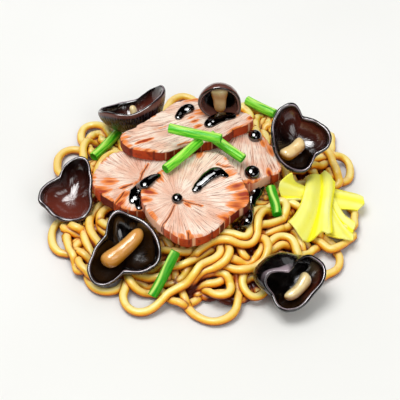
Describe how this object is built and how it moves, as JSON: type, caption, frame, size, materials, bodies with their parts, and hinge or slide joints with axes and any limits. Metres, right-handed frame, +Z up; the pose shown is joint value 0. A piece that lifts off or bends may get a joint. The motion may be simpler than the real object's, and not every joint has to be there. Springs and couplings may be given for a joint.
{
  "type": "yaki ramen",
  "caption": "Loose heap of thick fried noodles on a bare surface, topped with roast pork slices, wood ear mushrooms, spring onion batons, omelette ribbons and black garlic oil.",
  "frame": {"origin": "middle of the heap's flat underside, on the surface that the food lies on", "axes": "+Z up, +X to the right of the serving as seen by the diner, +Y to its back"},
  "size_m": [0.2005, 0.1916, 0.0631],
  "materials": {
    "noodle": "cooked wheat noodles, golden, lightly oiled, with brown sauce between them",
    "pork": "roast pork, pale and fibrous on the cut face, red-brown at the rim",
    "wood_ear": "wood ear mushroom, black to dark brown, wet and glossy",
    "spring_onion": "spring onion leaf, bright green, smooth",
    "omelette": "thin omelette, lemon yellow, soft",
    "garlic_oil": "black garlic oil, wet and very glossy"
  },
  "bodies": {
    "root": {"noodles": "noodle", "pork_left": "pork", "pork_right": "pork", "pork_front": "pork", "pork_back": "pork", "onion_under_left": "spring_onion", "onion_under_right": "spring_onion", "onion_top": "spring_onion", "onion_left": "spring_onion", "onion_far": "spring_onion", "onion_right": "spring_onion", "onion_low": "spring_onion", "egg_back": "omelette", "egg_left": "omelette", "egg_right": "omelette", "egg_front": "omelette", "wood_ear_left": "wood_ear", "wood_ear_low": "wood_ear", "wood_ear_corner": "wood_ear", "wood_ear_right": "wood_ear", "wood_ear_back": "wood_ear", "wood_ear_top": "wood_ear"}
  },
  "joints": []
}
